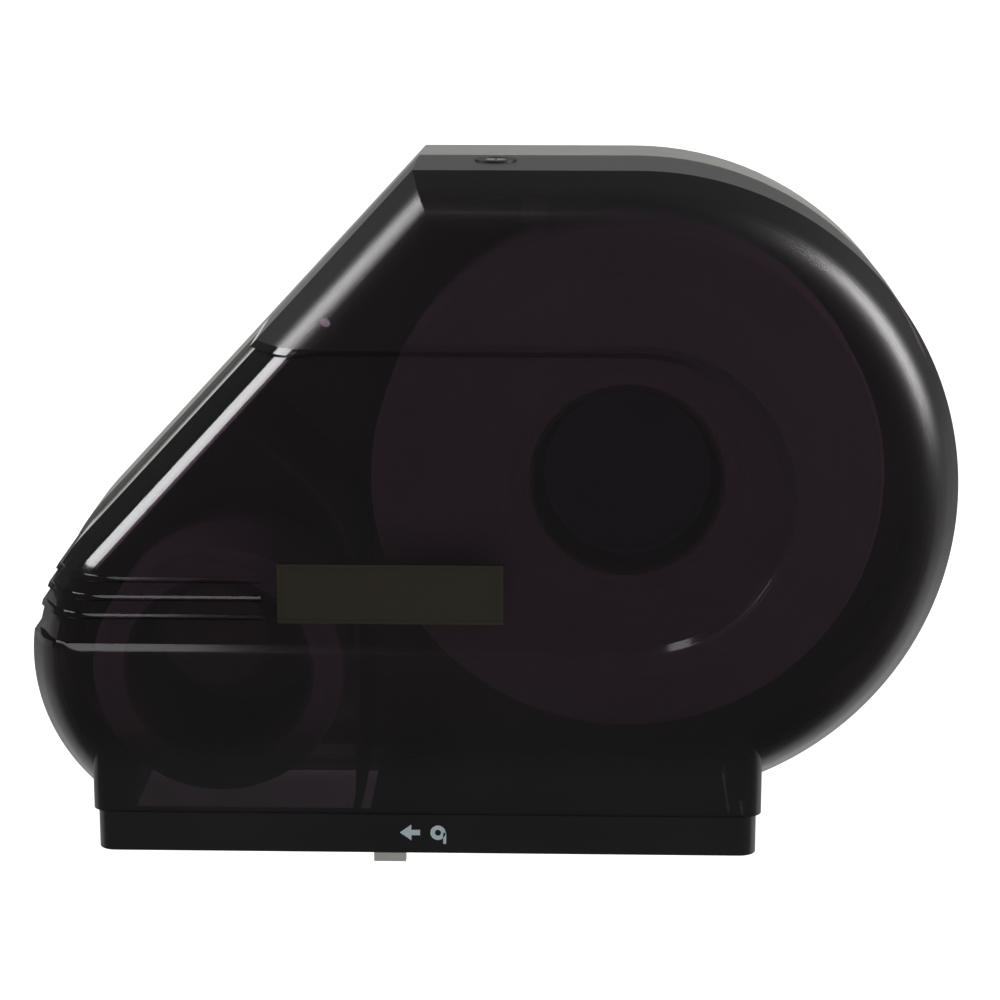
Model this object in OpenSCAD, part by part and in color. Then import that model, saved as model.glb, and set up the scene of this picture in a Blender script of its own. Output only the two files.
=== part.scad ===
// Jumbo toilet roll dispenser: a main roll on a large hub, and a stub roll in the nose beside it.
// Every module draws in the front view: x to the right, y up, z out of the wall, origin on the
// wall at the middle of the four wall screws. wall_frame() then stands that view up, so that the
// finished part has +Z up and its back on the plane Y = 0.

/* [Cover outline] */
// Radius of the round end of the cover
round_r = 147.5; // [144:0.5:151]
// Middle of the round end, to the right of the origin
round_x = 62; // [60:1:66]
// Middle of the round end, above the origin
round_y = 4; // [2:1:7]
// Radius of the nose round the stub roll
nose_r = 86; // [84:0.5:89]
// Middle of the nose, from the origin
nose_x = -132; // [-134:1:-130]
// Height of the nose above the bottom edge of the foot, past its own radius
nose_rise = 0.5; // [0:0.1:2]
// Slant of the slope between flat top and nose, from the horizontal
slope_a = 47.18; // [47.03, 47.18]
// Left side of the foot
foot_left = -188.5; // [-191:0.5:-187]
// Right side of the foot
foot_right = 121.5; // [119:0.5:125]
// Bottom edge of the foot
foot_y = -161.5; // [-163:0.5:-160.5]

/* [Cover section] */
// Depth at which the tray ends and the cover begins
split_z = 50; // [48:0.5:52]
// Depth of the crease between side wall and domed edge
crease_z = 110; // [106:1:114]
// Radius of the domed front edge
edge_r = 24; // [22:0.5:26]
// Straight part of the domed edge, next to the crease
edge_flat = 14.4; // [13.5:0.2:16]
// Slant of that straight part
edge_angle = 65; // [62:1:68]
// Wall of the cover
shell_t = 2.5; // [2:0.1:2.8]
// Height of the band round the foot
band_h = 18.5; // [16:0.5:19.5]
// Step in of the band at its sides
band_step = 2.4; // [1.8:0.1:2.8]
// How far the band stands out in front
band_proud = 1.2; // [0.8:0.1:2]
// Corner radius of foot and band
band_r = 8; // [6:0.5:10]

/* [Window] */
// Depth of the recessed window
recess = 2.5; // [1.8:0.1:2.8]
// Half the height of the window's floor, and the radius of its round end
window_r = 67; // [62:0.5:72]
// Width of the bevel round the window
window_bevel = 3; // [1.5:0.5:4]
// Number of ribs at the left of the window
rib_count = 3; // [2:1:4]
// Distance between ribs
rib_pitch = 8.7; // [7:0.1:9]
// Height of the top rib
rib_top = -32.5; // [-34:0.5:-28]
// Width of a rib
rib_w = 2.6; // [2:0.2:3.4]
// How far a rib stands out of the window
rib_out = 1.4; // [0.8:0.1:1.7]
// Right end of the ribs
rib_end = -107; // [-114:1:-104]
// Width of the badge plate
badge_w = 103; // [90:1:106]
// Height of the badge plate
badge_h = 27.8; // [24:0.2:32]
// Thickness of the badge plate
badge_t = 1.6; // [1.2:0.1:2]
// Depth of the pocket that the badge plate lies in
badge_pocket = 0.8; // [0.5:0.1:1]
// Left side of the badge plate
badge_x = -100.8; // [-102:0.5:-99]
// Bottom of the badge plate
badge_y = -52.5; // [-55:0.5:-50]

/* [Back tray] */
// Thickness of the back plate
plate_t = 3; // [2.6:0.1:3.2]
// Wall of the tray
tray_t = 3; // [2.6:0.1:3.2]
// Inset of the tray's wall from the cover's outline
tray_in = 0.8; // [0.5:0.1:1]
// Gap between tray and cover along the split
seam = 0.6; // [0.4:0.1:0.8]
// Height of the lip that the cover closes over
lip_h = 4; // [3:0.5:4.5]
// Thickness of that lip
lip_t = 1.5; // [1.2:0.1:2]
// Gap between lip and cover
lip_gap = 0.6; // [0.5:0.1:0.8]
// Lowest point of that lip
lip_end = -125; // [-127:1:-115]
// Wall screws, left to right
screw_dx = 177.8; // [172:0.2:179]
// Wall screws, bottom to top
screw_dy = 127; // [120:0.5:130]
// Radius of a wall screw hole
screw_hole_r = 2.6; // [2.2:0.1:3]
// Radius of the raised ring round a wall screw hole
screw_pad_r = 6; // [5:0.2:6.4]
// Height of rings and ribs on the back plate
plate_rib_h = 3; // [2:0.2:3.2]
// Height of the sill behind the mouth for the paper
sill = 12; // [10:0.5:13]

/* [Spindles and hub] */
// Middle of the main spindle
main_x = 58.3; // [56:0.5:60]
// Height of the main spindle
main_y = 12; // [10:0.5:14]
// Radius of the main spindle
main_r = 20; // [18:0.5:22]
// Radius of the hub on the main spindle
hub_r = 38; // [36:0.5:40]
// Wall of the hub
hub_t = 2.2; // [1.8:0.1:2.6]
// Spokes inside the hub
hub_spokes = 6; // [5:1:8]
// Middle of the stub spindle
stub_x = -133; // [-134:0.5:-132]
// Height of the stub spindle
stub_y = -67; // [-68:0.5:-66]
// Radius of the stub spindle
stub_r = 24; // [22:0.5:25]
// Wall of both spindles
spindle_t = 2.6; // [2.2:0.1:3]
// Width of the spindles' flanges outside their tubes
flange_w = 9; // [8.6:0.1:9.6]
// Depth of the front of the hub
hub_z = 106; // [104:0.5:108]

/* [Rolls] */
// Inner radius of a core
core_r = 43; // [42:0.25:44]
// Wall of a core
core_t = 1.5; // [1:0.1:1.8]
// Radius of the main roll
roll_r = 118.5; // [100:0.5:120]
// Clearance of the stub roll above the rails
roll_clear = 0.8; // [0.5:0.1:5]
// Width of the rolls
roll_w = 92; // [86:0.5:94]
// Depth at which the rolls begin
roll_z = 9; // [8.8:0.1:10]

/* [Divider] */
// Middle of the divider's upright part
divider_x = -67.5; // [-68:0.25:-67]
// Thickness of the divider
divider_t = 2.5; // [2:0.1:2.8]
// Height at which the divider starts to curve
divider_bend_y = -46; // [-50:1:-42]
// Radius of the curve
divider_bend_r = 68; // [62:1:74]
// Distance from the divider's end to the slope
divider_end = 18; // [17:0.5:24]
// Front edge of the divider
divider_z = 100; // [94:0.5:102]

/* [Base frame and shutter] */
// Height of the rails
rail_h = 14; // [13.5:0.25:15]
// Thickness of the front rail
rail_t = 6; // [5.5:0.25:6.5]
// Front face of the front rail
rail_front_z = 127; // [125:0.5:127.5]
// Back face of the rear rail
rear_rail_z = 16; // [14:0.5:17]
// Thickness of the rear rail
rear_rail_t = 10; // [9:0.5:11]
// Thickness of the arms
arm_t = 3; // [2.6:0.1:3.2]
// Depth of the groove that the shutter runs in
groove_d = 3; // [2.4:0.1:3.2]
// Thickness of the shutter
shutter_t = 2; // [1.8:0.1:2.4]
// Clearance above and below the shutter in its grooves
shutter_gap = 0.3; // [0.2:0.05:0.4]
// Left end of the shutter when it covers the main roll's side
shutter_left = -62; // [-62.5:0.25:-61]
// Travel of the shutter to the left
shutter_travel = 110; // [100:1:110]
// Width of the finger tab
tab_w = 15; // [12:0.5:18]
// Thickness of the finger tab
tab_t = 5; // [4:0.25:5.5]
// Bottom of the finger tab
tab_y = -173; // [-176:0.5:-171]
// Pitch of the teeth on the tear bars
tooth = 3; // [2.4:0.1:3.6]
// Thickness of the tear bars
tear_t = 1; // [0.8:0.1:1.2]
// Height of the tear bars
tear_h = 13.5; // [12.5:0.25:14]

/* [Hinge] */
// Depth of the hinge axis
hinge_z = 36; // [35.5:0.25:37]
// Height of the hinge axis
hinge_y = -150; // [-150.5:0.25:-149.5]
// Radius of a hinge pin
pin_r = 2.5; // [2.2:0.1:2.8]
// Radius of the ears round the pins
ear_r = 7; // [6.4:0.2:7.4]
// Thickness of an ear
ear_t = 3; // [2.6:0.1:3.2]

/* [Lock] */
// Lock, left or right of the origin
lock_x = -3; // [-6:1:0]
// Depth of the lock
lock_z = 72; // [70:0.5:75]
// Radius of the lock's housing
lock_r = 8; // [7.6:0.1:8.4]
// Radius of the lock's plug
plug_r = 5.5; // [5:0.1:5.8]
// Reach of the cam
cam_l = 24; // [22:0.5:26]
// Width of the cam
cam_w = 12; // [10:0.5:13]
// Thickness of sheet metal in the lock's cam and strike
sheet_t = 3; // [2.5:0.1:3.2]

/* [Hidden] */
$fn = 96;

fit = 0.05;              // radial clearance of a pin or shaft that turns
close = 0.1;             // radial clearance of what is only put together
seat = 0.3;              // gap between a loose piece and what it rests on
over = 1;                // how far a cutter reaches past what it cuts
far = 60;                // how far a cutter for the whole outline starts outside it
whole = 4 * round_r;     // size of such a cutter

// Screws: thread radius, head radius and head height
small_screw = [1.7, 2.8, 2];
pilot = 1.75;            // radius of the hole that a small screw bites into
screw_bite = 6;          // depth of that hole

// Outline of the cover
top_y = round_y + round_r;
nose_y = foot_y + nose_r + nose_rise;
nose = [nose_x, nose_y];
corner = [nose_x + ((top_y - nose_y) * cos(slope_a) - nose_r) / sin(slope_a), top_y];
slope_l = sqrt(pow(norm(corner - nose), 2) - pow(nose_r, 2));
slope_n = [-sin(slope_a), cos(slope_a)];
sweep_in = 2 * round_r;  // how far inwards the swept sections reach
foot_top = -100;         // height at which the foot disappears into the round forms
edge_w = edge_r * sin(edge_angle) + edge_flat * cos(edge_angle);
edge_h = edge_r * (1 - cos(edge_angle)) + edge_flat * sin(edge_angle);
front_z = crease_z + edge_h;
crease_shift = tan((90 - edge_angle) / 2);
window_z = front_z - recess;

// Tray
tray_wall = tray_in + tray_t;
lip_in = shell_t + lip_gap;

// Base frame, worked out from the foot inwards: band wall, ear, gap, arm
band_left = foot_left + band_step;
band_right = foot_right - band_step;
ear_left = band_left + shell_t;
ear_right = band_right - shell_t;
arm_gap = 1;
arm_left = ear_left + ear_t + arm_gap;
arm_right = ear_right - ear_t - arm_gap;
rail_y = foot_y + 1.5;
rail_top = rail_y + rail_h;
groove_y = rail_y + 4;
groove_h = shutter_t + 2 * shutter_gap;
front_groove_z = rail_front_z - rail_t;
rear_groove_z = rear_rail_z + rear_rail_t - groove_d;
frame_screw_y = groove_y + groove_h + (rail_top - groove_y - groove_h) / 2;
frame_screw_xs = [arm_left + 38, (arm_left + arm_right) / 2, arm_right - 24];
web_t = divider_t;       // cross bar under the divider
pin_head = 1.4;
shutter_right = arm_right - arm_t - pin_head - 0.5;
arm_back = sill + seat;
hinge_gap = split_z - hinge_z - seam;

// Divider
divider_top = slope_a;   // the curve turns until the divider stands square to the slope
bend_c = [divider_x - divider_bend_r, divider_bend_y];
bend_end = bend_c + divider_bend_r * [cos(divider_top), sin(divider_top)];
divider_run = -(bend_end - corner) * slope_n - divider_end;
foot_tab = [12, 10, 2.5]; // the divider's screw tabs
divider_tabs = [divider_bend_y, divider_bend_y - 66];

// Spindles: flange radius and radius of the circle of screws
main_flange = main_r + flange_w + 3;
stub_flange = stub_r + flange_w;
flange_t = 3;
ring_main = (main_r + main_flange) / 2;
ring_stub = (stub_r + stub_flange) / 2;
main_end = hub_z - 8;    // front end of the main spindle
hub_bore = main_r + close;
hub_disc_z = main_end + seat;
hub_disc_t = 3;
stub_end = hub_z - 2;

// Rolls hang from the top of their cores
main_core = [main_x, main_y - (core_r - hub_r - seat)];
stub_core = [stub_x, stub_y - (core_r - stub_r - seat)];
stub_roll_r = stub_core.y - rail_top - roll_clear;
paper_gap = 0.1;

// Lock
roof_y = top_y - shell_t;
nut_t = 4;
nut_r = 12;
bezel = [9.6, 0.8];      // radius and height of the housing's collar
housing_y = roof_y - 9;
cam_top = housing_y - 0.6;
cam_y = cam_top - sheet_t;
neck_r = 3;
strike_x = [lock_x + cam_w / 2 + 6, lock_x + cam_w / 2 + 18];
strike_z = lock_z + cam_w / 2 + 4;
strike_arm_y = cam_y - 12;
strike_top = roof_y - 7;
strike_foot = 28;        // length of the strike's foot below its arm
strike_bend = 7;         // what stands above the arm, and the height of the web in the bend
strike_web = [12, 40];   // reach of that web at its top and bottom

module wall_frame() { rotate([90, 0, 0]) children(); }

// ---- shapes shared by cover and tray ----

// Section of the cover's edge: s = 0 at the outer edge and negative inwards, for a wall inset t
module edge_profile(t, z0, reach) {
    arc_c = [-edge_w, front_z - edge_r];
    // ends just inside the arc, so that flat and arc always cross
    arc_start = arc_c + (edge_r - t - 0.02) * [sin(edge_angle), cos(edge_angle)];
    polygon([[-reach, z0], [-t, z0], [-t, crease_z - t * crease_shift], arc_start, arc_c,
        [arc_c.x, front_z - t], [-reach, front_z - t]]);
    translate(arc_c) circle(r = edge_r - t);
}

// Square section for the tray: the same edge without the dome
module plain_profile(t, z0, z1, reach) {
    polygon([[-reach, z0], [-t, z0], [-t, z1], [-reach, z1]]);
}

// A section drawn along +x, with its outside to the left of the run
module run(length) { rotate([90, 0, 90]) linear_extrude(length) children(); }

// Upper and middle part of the outline, swept with the section given as children: the round end
// and the nose are turned, and the flat top and the slope are two runs that meet in a mitre.
module swept_outline(mid) {
    translate([round_x, round_y]) rotate([0, 0, -90]) rotate_extrude(angle = 180)
        intersection() {
            translate([round_r, 0]) children();
            translate([0, -over]) square([2 * round_r, whole]);
        }
    along_slope(mid) rotate([0, 0, 90]) rotate_extrude(angle = 180 - slope_a)
        intersection() {
            translate([nose_r, 0]) children();
            translate([0, -over]) square([2 * nose_r, whole]);
        }
    intersection() {
        translate([nose.x - nose_r, top_y]) run(round_x - nose.x + nose_r) children();
        along_slope(mid) translate([0, nose_r]) run(slope_l + round_x - corner.x) children();
    }
}

// Frame of nose and slope, turned about the middle of the nose at depth mid
module along_slope(mid) {
    translate([nose.x, nose.y, mid]) rotate([0, 0, slope_a]) translate([0, 0, -mid]) children();
}

// Fills the flat front between nose, slope and foot
module flat_middle(z0, z1) {
    lap = 10;
    translate([nose.x - 3 * lap, foot_top - lap, z0])
        cube([7 * lap, nose.y - foot_top + 2 * lap, z1 - z0]);
}

// Solid cover form, inset by t all round: t = 0 is the outside
module dome(t, z0, y0) {
    band_top = foot_y + band_h;
    band_z = front_z + band_proud;
    swept_outline((z0 + front_z) / 2) edge_profile(t, z0, sweep_in);
    flat_middle(z0, front_z - t);
    down(foot_top, band_top + t) foot_plan(foot_left, foot_right, front_z, t, z0);
    if (t > 0) down(band_top + t, band_top - t) intersection() {
        foot_plan(foot_left, foot_right, front_z, t, z0);
        foot_plan(band_left, band_right, band_z, t, z0);
    }
    down(band_top - t, y0) foot_plan(band_left, band_right, band_z, t, z0);
}

// A plan drawn from height y1 down to y0
module down(y1, y0) { translate([0, y1]) rotate([90, 0, 0]) linear_extrude(y1 - y0) children(); }

// Plan of foot or band, inset by t, with round front corners
module foot_plan(left, right, front, t, z0) {
    r = band_r - t;
    z1 = front - t;
    inner = [left + band_r, right - band_r];
    polygon([[left + t, z0], [right - t, z0], [right - t, z1 - r], [inner[1], z1 - r], [inner[1], z1],
        [inner[0], z1], [inner[0], z1 - r], [left + t, z1 - r]]);
    for (x = inner) translate([x, z1 - r]) circle(r = r);
}

// Solid tray form, inset by t, from z0 to z1
module slab(t, z0, z1) {
    swept_outline((z0 + z1) / 2) plain_profile(t, z0, z1, sweep_in);
    flat_middle(z0, z1);
    translate([foot_left + t, foot_y + t, z0])
        cube([foot_right - foot_left - 2 * t, foot_top - foot_y - t, z1 - z0]);
}

// Cutter for the window: a long slot with a round right end and bevelled sides
module window_form(r) {
    slope = window_bevel / recess;
    wide = r + slope * (recess + 2 * over);
    translate([foot_left - far, round_y]) rotate([90, 0, 90])
        linear_extrude(round_x - foot_left + far)
            polygon([[-r, 0], [r, 0], [r, window_z], [wide, front_z + 2 * over],
                [-wide, front_z + 2 * over], [-r, window_z]]);
    translate([round_x, round_y]) rotate([0, 0, -90]) rotate_extrude(angle = 180)
        polygon([[0, 0], [r, 0], [r, window_z], [wide, front_z + 2 * over],
            [0, front_z + 2 * over]]);
}

module screw(spec, length) {
    cylinder(h = spec[2], r = spec[1]);
    translate([0, 0, -length]) cylinder(h = length, r = spec[0]);
}

// ---- back tray ----

module back_tray() {
    color([0.62, 0.61, 0.59]) wall_frame() difference() {
        union() {
            slab(tray_in, 0, plate_t);
            difference() {
                slab(tray_in, 0, split_z - seam);
                slab(tray_wall, plate_t, split_z);
                tray_mouth();
                tray_hinge_relief();
            }
            tray_lip();
            tray_bosses();
        }
        at_wall_screws() translate([0, 0, -over])
            cylinder(h = plate_t + plate_rib_h + 2 * over, r = screw_hole_r);
        tray_pilots();
        hinge_bore();
    }
}

// The bottom is open for the paper, behind a low sill
module tray_mouth() {
    translate([foot_left + tray_wall, foot_y - over, sill])
        cube([foot_right - foot_left - 2 * tray_wall, tray_wall + 2 * over, split_z]);
}

// The lower front corners are round about the hinge axis, so that the cover can swing past
module tray_hinge_relief() {
    for (x = [foot_left - over, foot_right - 2 * tray_t]) difference() {
        translate([x, foot_y - over, hinge_z])
            cube([2 * tray_t + over, hinge_y - foot_y + over, split_z - hinge_z]);
        translate([x - over, hinge_y, hinge_z]) rotate([0, 90, 0])
            cylinder(h = 2 * tray_t + 3 * over, r = hinge_gap);
    }
}

// Lip that the cover closes over, above the hinge. It stops where the cover's window runs round the
// left side, because the cover's wall is drawn in there.
module tray_lip() {
    root = 8;
    window_half = window_r + shell_t + lip_gap;
    difference() {
        slab(lip_in, split_z - root, split_z + lip_h);
        slab(lip_in + lip_t, split_z - root - over, split_z + lip_h + over);
        translate([foot_left - far, foot_y - far, 0]) cube([whole, lip_end - foot_y + far, whole]);
        translate([foot_left - far, round_y - window_half, 0])
            cube([divider_x - foot_left + far, 2 * window_half, whole]);
    }
}

module at_wall_screws() {
    for (sx = [-1, 1], sy = [-1, 1]) translate([sx * screw_dx / 2, sy * screw_dy / 2]) children();
}

module tray_bosses() {
    at_wall_screws() cylinder(h = plate_t + plate_rib_h, r = screw_pad_r);
    for (x = frame_screw_xs) translate([x, frame_screw_y, 0]) cylinder(h = rear_rail_z, r = 4);
    rib = [1.6, 20];
    for (x = [-screw_dx / 2, screw_dx / 2], s = [-1, 1])
        translate([x - rib.x / 2, s * (screw_dy / 2 - screw_pad_r + over - rib.y / 2) - rib.y / 2, 0])
            cube([rib.x, rib.y, plate_t + plate_rib_h]);
}

module tray_pilots() {
    for (p = divider_holes()) translate([p.x, p.y, plate_t - screw_bite]) pilot_hole();
    for (p = main_holes()) translate([p.x, p.y, plate_t - screw_bite]) pilot_hole();
    for (p = stub_holes()) translate([p.x, p.y, plate_t - screw_bite]) pilot_hole();
    for (p = strike_holes()) translate([p.x, p.y, plate_t - screw_bite]) pilot_hole();
    for (x = frame_screw_xs) translate([x, frame_screw_y, rear_rail_z - screw_bite]) pilot_hole();
}

module pilot_hole() { cylinder(h = screw_bite + over, r = pilot); }

function ring(c, r, n, a0) = [for (i = [0 : n - 1]) c + r * [cos(a0 + i * 360 / n), sin(a0 + i * 360 / n)]];
function main_holes() = ring([main_x, main_y], ring_main, 3, 90);
function stub_holes() = ring([stub_x, stub_y], ring_stub, 3, 90);
function strike_holes() = [for (dy = [-10, 10])
    [(strike_x[0] + strike_x[1]) / 2, strike_arm_y - 14 + dy]];
function divider_holes() = [for (y = divider_tabs)
    [divider_x + divider_t / 2 + foot_tab.x / 2, y]];

module hinge_bore() {
    translate([foot_left - far, hinge_y, hinge_z]) rotate([0, 90, 0])
        cylinder(h = whole, r = pin_r + fit);
}

// ---- divider ----

module divider_wall() {
    color([0.6, 0.6, 0.58]) wall_frame() difference() {
        union() {
            translate([0, 0, plate_t]) linear_extrude(divider_z - plate_t) divider_line();
            for (y = divider_tabs) translate([divider_x, y - foot_tab.y / 2, plate_t])
                cube([divider_t / 2 + foot_tab.x, foot_tab.y, foot_tab.z]);
        }
        for (p = divider_holes()) translate([p.x, p.y, 0]) cylinder(h = 20, r = pilot + fit);
    }
}

module divider_line() {
    translate([divider_x - divider_t / 2, rail_top])
        square([divider_t, divider_bend_y - rail_top]);
    intersection() {
        translate(bend_c) difference() {
            circle(r = divider_bend_r + divider_t / 2);
            circle(r = divider_bend_r - divider_t / 2);
        }
        wedge_r = divider_bend_r * 2;
        translate(bend_c) polygon([[0, 0], [wedge_r, 0], [wedge_r, wedge_r * tan(divider_top / 2)],
            wedge_r * [cos(divider_top), sin(divider_top)]]);
    }
    translate(bend_end) rotate(90 + divider_top) translate([0, -divider_t / 2])
        square([divider_run, divider_t]);
}

module divider_screws() {
    color("silver") wall_frame()
        for (p = divider_holes()) translate([p.x, p.y, plate_t + foot_tab.z])
            screw(small_screw, foot_tab.z + plate_t - 0.5);
}

// ---- spindles, hub and their screws ----

module spindle(r, flange, end_z, holes) {
    difference() {
        union() {
            translate([0, 0, plate_t]) cylinder(h = flange_t, r = flange);
            translate([0, 0, plate_t]) cylinder(h = end_z - plate_t, r = r);
        }
        translate([0, 0, plate_t - over])
            cylinder(h = end_z - plate_t - 3 + over, r = r - spindle_t);
        for (p = holes) translate([p.x, p.y, 0]) cylinder(h = 20, r = pilot + fit);
        children();
    }
}

module main_spindle() {
    color([0.6, 0.6, 0.58]) wall_frame() translate([main_x, main_y]) {
        spindle(main_r, main_flange, main_end, ring([0, 0], ring_main, 3, 90)) {
            translate([0, 0, main_end - 10]) cylinder(h = 20, r = pilot);
        }
        difference() {
            translate([0, 0, main_end - 10]) cylinder(h = 9, r = 5);
            translate([0, 0, main_end - 10 - over]) cylinder(h = 20, r = pilot);
        }
    }
}

module stub_spindle() {
    color([0.6, 0.6, 0.58]) wall_frame() translate([stub_x, stub_y])
        spindle(stub_r, stub_flange, stub_end, ring([0, 0], ring_stub, 3, 90)) {
            translate([0, 0, stub_end - 1]) cylinder(h = 10, r = stub_r - 2 * spindle_t);
        }
}

module spindle_screws() {
    color("silver") wall_frame()
        for (p = concat(main_holes(), stub_holes()))
            translate([p.x, p.y, plate_t + flange_t])
                screw(small_screw, flange_t + plate_t - 0.5);
}

module hub_drum() {
    back_z = plate_t + flange_t + 2.4;
    color([0.36, 0.38, 0.45]) wall_frame() translate([main_x, main_y]) {
        difference() {
            translate([0, 0, back_z]) cylinder(h = hub_z - back_z, r = hub_r);
            translate([0, 0, back_z - over])
                cylinder(h = hub_disc_z - back_z + over, r = hub_r - hub_t);
            translate([0, 0, hub_disc_z + hub_disc_t])
                cylinder(h = 20, r = hub_r - hub_t);
            translate([0, 0, back_z]) cylinder(h = 200, r = pilot + close);
        }
        difference() {
            translate([0, 0, back_z]) cylinder(h = hub_disc_z - back_z, r = hub_bore + hub_t);
            translate([0, 0, back_z - over])
                cylinder(h = hub_disc_z - back_z + over, r = hub_bore);
        }
        for (i = [0 : hub_spokes - 1]) rotate(i * 360 / hub_spokes)
            translate([hub_bore + hub_t / 2, -hub_t / 2, back_z + 12])
                cube([hub_r - hub_bore - hub_t, hub_t, hub_disc_z - back_z - 12 + over]);
    }
}

module hub_screw() {
    color("silver") wall_frame()
        translate([main_x, main_y, hub_disc_z + hub_disc_t]) screw([1.7, 5, 2.5], 11);
}

// ---- base frame, tear bars and shutter ----

module base_frame() {
    inner = arm_right - arm_left;
    color([0.58, 0.58, 0.56]) wall_frame() difference() {
        union() {
            for (x = [arm_left, arm_right - arm_t])
                translate([x, rail_y, arm_back]) cube([arm_t, rail_h, rail_front_z - arm_back]);
            translate([arm_left, rail_y, front_groove_z]) cube([inner, rail_h, rail_t]);
            translate([arm_left, rail_y, rear_rail_z]) cube([inner, rail_h, rear_rail_t]);
            for (x = [arm_left, arm_right - arm_t]) translate([x, hinge_y, hinge_z])
                rotate([0, 90, 0]) cylinder(h = arm_t, r = pin_r + 4);
            translate([divider_x - web_t / 2, groove_y + groove_h + 0.6, rear_rail_z])
                cube([web_t, rail_top - groove_y - groove_h - 0.6, rail_front_z - rear_rail_z]);
        }
        translate([arm_left + arm_t, groove_y, front_groove_z - over])
            cube([inner - 2 * arm_t, groove_h, groove_d + over]);
        translate([arm_left + arm_t, groove_y, rear_groove_z])
            cube([inner - 2 * arm_t, groove_h, groove_d + over]);
        for (x = frame_screw_xs) translate([x, frame_screw_y, 0]) cylinder(h = 60, r = pilot + fit);
        for (x = rivet_xs()) translate([x, frame_screw_y, front_groove_z - over])
            cylinder(h = rail_t + 2 * over, r = pilot);
        hinge_bore();
    }
}

module frame_screws() {
    color("silver") wall_frame()
        for (x = frame_screw_xs) translate([x, frame_screw_y, rear_rail_z + rear_rail_t])
            screw(small_screw, rear_rail_t + 5);
}

tear_left = [arm_left + arm_t + 2, divider_x - web_t - 3];
tear_right = [divider_x + web_t + 5, arm_right - arm_t - 2];
function rivets_on(span) = [for (k = [0.1, 0.5, 0.9]) span[0] + k * (span[1] - span[0])];
function rivet_xs() = concat(rivets_on(tear_left), rivets_on(tear_right));

// Strip with a row of teeth along its lower edge
module tear_bar(span) {
    teeth = floor((span[1] - span[0]) / tooth);
    pitch = (span[1] - span[0]) / teeth;
    y0 = frame_screw_y + 3 - tear_h;
    difference() {
        translate([0, 0, rail_front_z]) linear_extrude(tear_t)
            polygon(concat(
                [[span[1], frame_screw_y + 3], [span[0], frame_screw_y + 3]],
                [for (i = [0 : 2 * teeth])
                    [span[0] + i * pitch / 2, y0 + (i % 2 == 0 ? pitch * 0.6 : 0)]]));
        for (x = rivets_on(span)) translate([x, frame_screw_y, rail_front_z - over])
            cylinder(h = tear_t + 2 * over, r = pilot);
    }
}

module tear_bar_left() { color("silver") wall_frame() tear_bar(tear_left); }

module tear_bar_right() { color("silver") wall_frame() tear_bar(tear_right); }

module tear_bar_rivets() {
    color("silver") wall_frame()
        for (x = rivet_xs()) translate([x, frame_screw_y, rail_front_z + tear_t])
            screw([1.7, 2.6, 0.9], rail_t + tear_t - 1);
}

module shutter() {
    y0 = groove_y + shutter_gap;
    z0 = rear_groove_z + 0.5;
    z1 = front_groove_z + groove_d - 0.5;
    tab_x = shutter_left + 3;
    rib_z0 = rear_rail_z + rear_rail_t + 2;
    rib_z1 = front_groove_z - 2;
    color([0.6, 0.59, 0.57]) wall_frame() {
        translate([shutter_left, y0, z0]) cube([shutter_right - shutter_left, shutter_t, z1 - z0]);
        translate([shutter_left, y0 - 3, rib_z0]) cube([2, 3, rib_z1 - rib_z0]);
        for (k = [0.2, 0.5, 0.8])
            translate([shutter_left, y0 - 2.4, rib_z0 + k * (rib_z1 - rib_z0)])
                cube([shutter_right - shutter_left - 4, 2.4, 1.6]);
        translate([tab_x, tab_y, rib_z1 - tab_t]) difference() {
            cube([tab_w, y0 - tab_y, tab_t]);
            for (k = [1 : 3]) translate([-over, 2 + 3 * k, tab_t])
                rotate([0, 90, 0]) cylinder(h = tab_w + 2 * over, r = 0.8);
        }
    }
}

module hinge_pins() {
    head_r = pin_r + 1;
    outer_l = foot_left + tray_in + 0.2;
    outer_r = foot_right - tray_in - 0.2;
    color("silver") wall_frame() translate([0, hinge_y, hinge_z]) rotate([0, 90, 0]) {
        translate([0, 0, outer_l]) cylinder(h = arm_left + arm_t - outer_l, r = pin_r);
        translate([0, 0, arm_left + arm_t]) cylinder(h = pin_head, r = head_r);
        translate([0, 0, arm_right - arm_t]) cylinder(h = outer_r - arm_right + arm_t, r = pin_r);
        translate([0, 0, arm_right - arm_t - pin_head]) cylinder(h = pin_head, r = head_r);
    }
}

// ---- cover ----

module cover() {
    color([0.12, 0.11, 0.12]) wall_frame() difference() {
        union() {
            difference() {
                cover_outside();
                cover_inside();
            }
            cover_ears();
        }
        badge_pocket_cut();
        translate([lock_x, top_y + over, lock_z]) rotate([90, 0, 0])
            cylinder(h = shell_t + 2 * over, r = lock_r + close);
        hinge_bore();
    }
}

module cover_outside() {
    difference() {
        union() {
            difference() {
                dome(0, split_z, foot_y);
                window_form(window_r);
            }
            dome(recess, split_z - over, foot_y + over);
            window_ribs();
        }
        translate([foot_left - far, foot_y - far, split_z - 2 * over]) cube([whole, whole, 2 * over]);
    }
}

// Ribs that follow the window's floor round the left side
module window_ribs() {
    intersection() {
        dome(recess - rib_out, split_z - over, foot_y + over);
        for (i = [0 : rib_count - 1]) translate([0, rib_top - i * rib_pitch, 0]) {
            translate([foot_left - far, -rib_w / 2, split_z])
                cube([rib_end - foot_left + far, rib_w, whole]);
            translate([rib_end, 0, front_z - edge_h]) cylinder(h = whole, r = rib_w / 2);
        }
    }
}

module cover_inside() {
    difference() {
        dome(shell_t, split_z - over, foot_y - over);
        window_form(window_r + shell_t);
    }
    dome(recess + shell_t, split_z - 2 * over, foot_y - 2 * over);
}

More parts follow.
